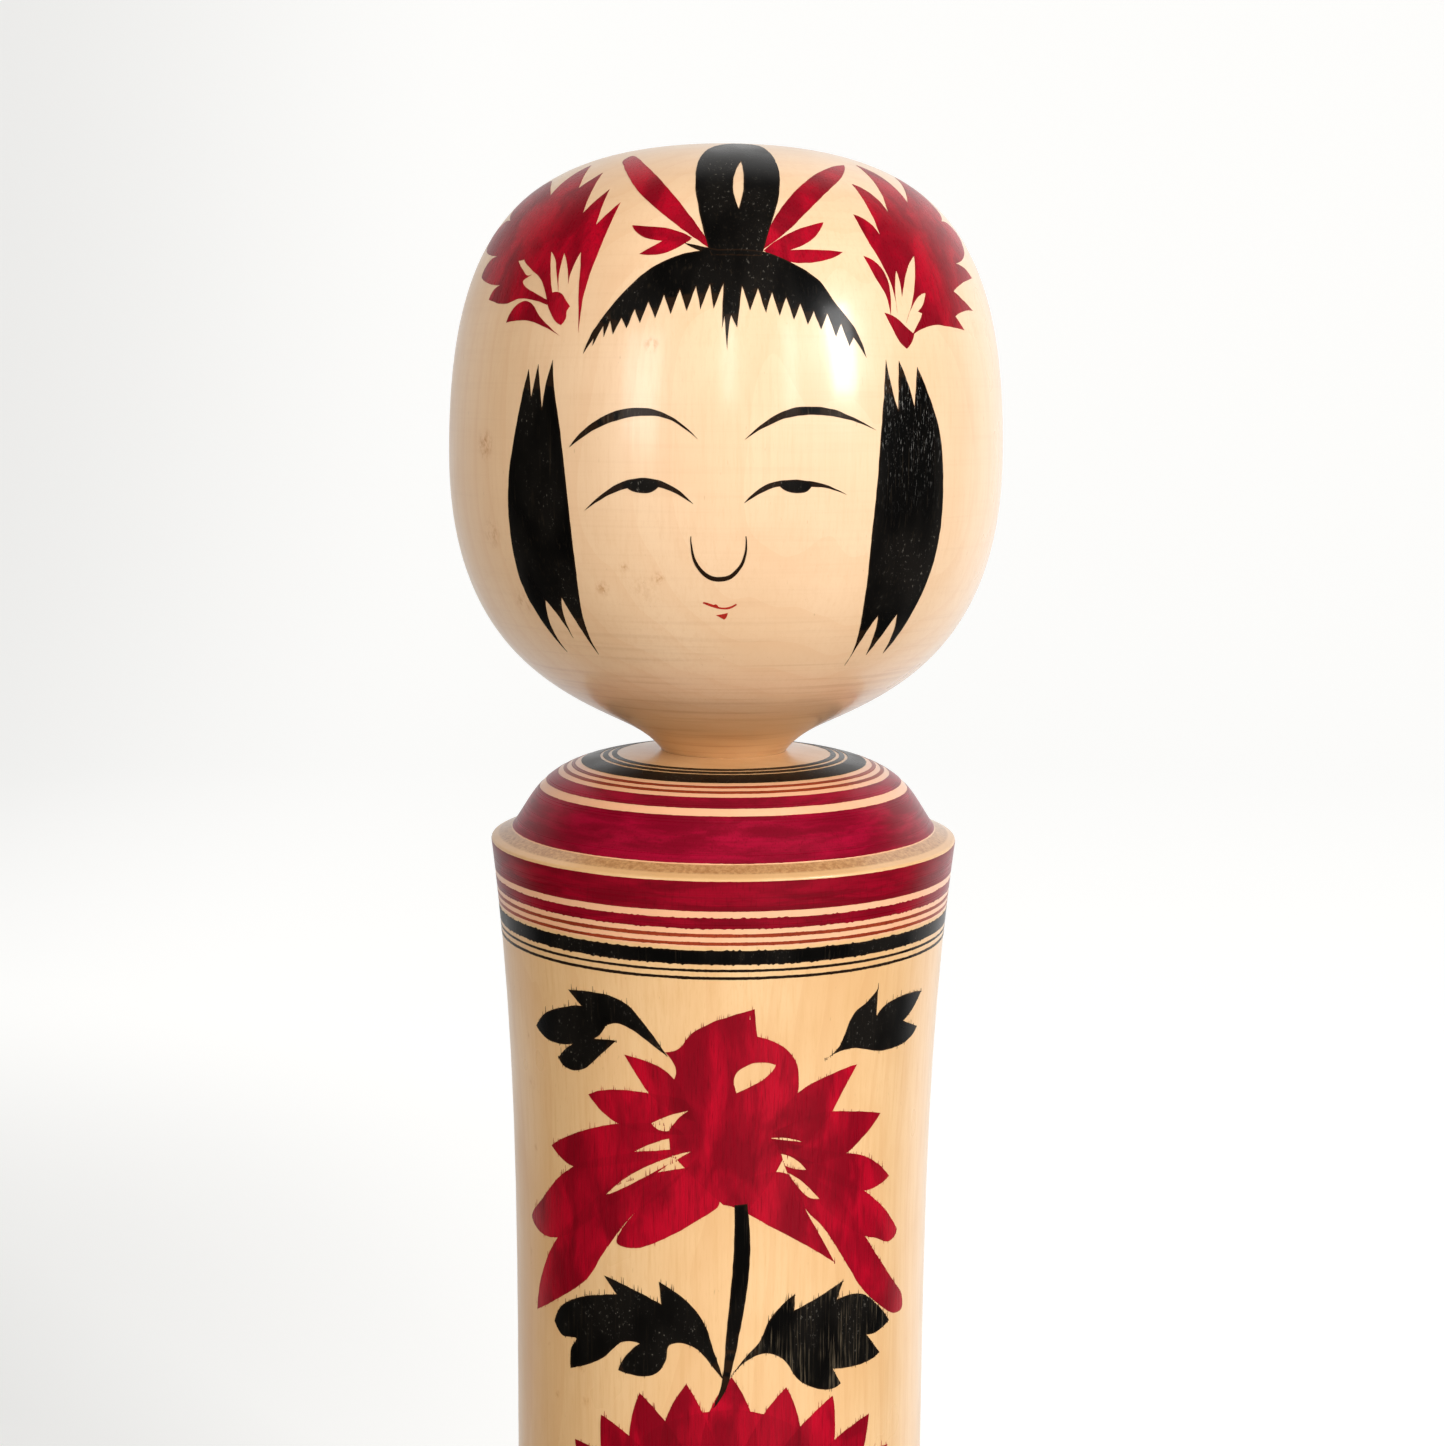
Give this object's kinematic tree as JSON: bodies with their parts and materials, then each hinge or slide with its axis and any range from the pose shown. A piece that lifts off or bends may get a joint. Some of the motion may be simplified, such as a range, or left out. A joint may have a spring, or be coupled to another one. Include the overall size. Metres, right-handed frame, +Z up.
{
  "type": "kokeshi doll",
  "caption": "Turned wooden figure with a round head that turns on a snapped-in tenon, a domed shoulder with a ledge, a waisted body and a flat base; painted face, bands and flowers.",
  "frame": {"origin": "centre of the flat base, on the surface the doll stands on", "axes": "+Z up the turning axis, -Y the way the painted face looks, +X to the viewer's right"},
  "size_m": [0.0918, 0.0918, 0.303],
  "materials": {
    "head_wood": "satin",
    "body_wood": "satin",
    "black_ink": "satin",
    "red_dye": "satin"
  },
  "bodies": {
    "body": {"body": "body_wood"},
    "head": {"head": "head_wood"}
  },
  "joints": [
    {"name": "head_turn", "type": "hinge", "parent": "body", "child": "head", "pos_m": [0, 0, 0.2032], "axis": [0, 0, 1], "continuous": true}
  ]
}
